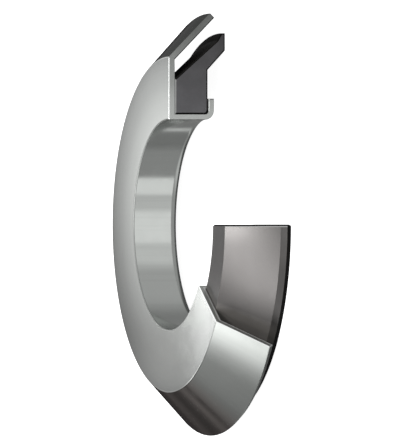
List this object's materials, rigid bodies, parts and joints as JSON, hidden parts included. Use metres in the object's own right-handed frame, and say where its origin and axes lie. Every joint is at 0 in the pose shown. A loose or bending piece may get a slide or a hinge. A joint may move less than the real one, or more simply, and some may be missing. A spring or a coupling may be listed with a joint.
{
  "type": "metal-cased v-ring seal",
  "caption": "Metal-cased axial face seal, cut open: a pressed steel case grips the shaft and holds a rubber ring whose angled lip runs against a counterface.",
  "frame": {"origin": "centre of the shaft bore, in the plane of the flat outer face of the case", "axes": "+Z along the shaft axis, out of the flat face and away from the lip; +Y lies in the cut plane that shows both sections; +X points to the side where the quarter is cut away"},
  "size_m": [0.0384, 0.0404, 0.0057],
  "materials": {
    "steel_case": "bright pressed sheet steel, smooth with fine drawing marks",
    "rubber_seal": "smooth moulded black rubber with a soft gloss"
  },
  "bodies": {
    "root": {"steel_case": "steel_case", "rubber_seal": "rubber_seal"}
  },
  "joints": []
}
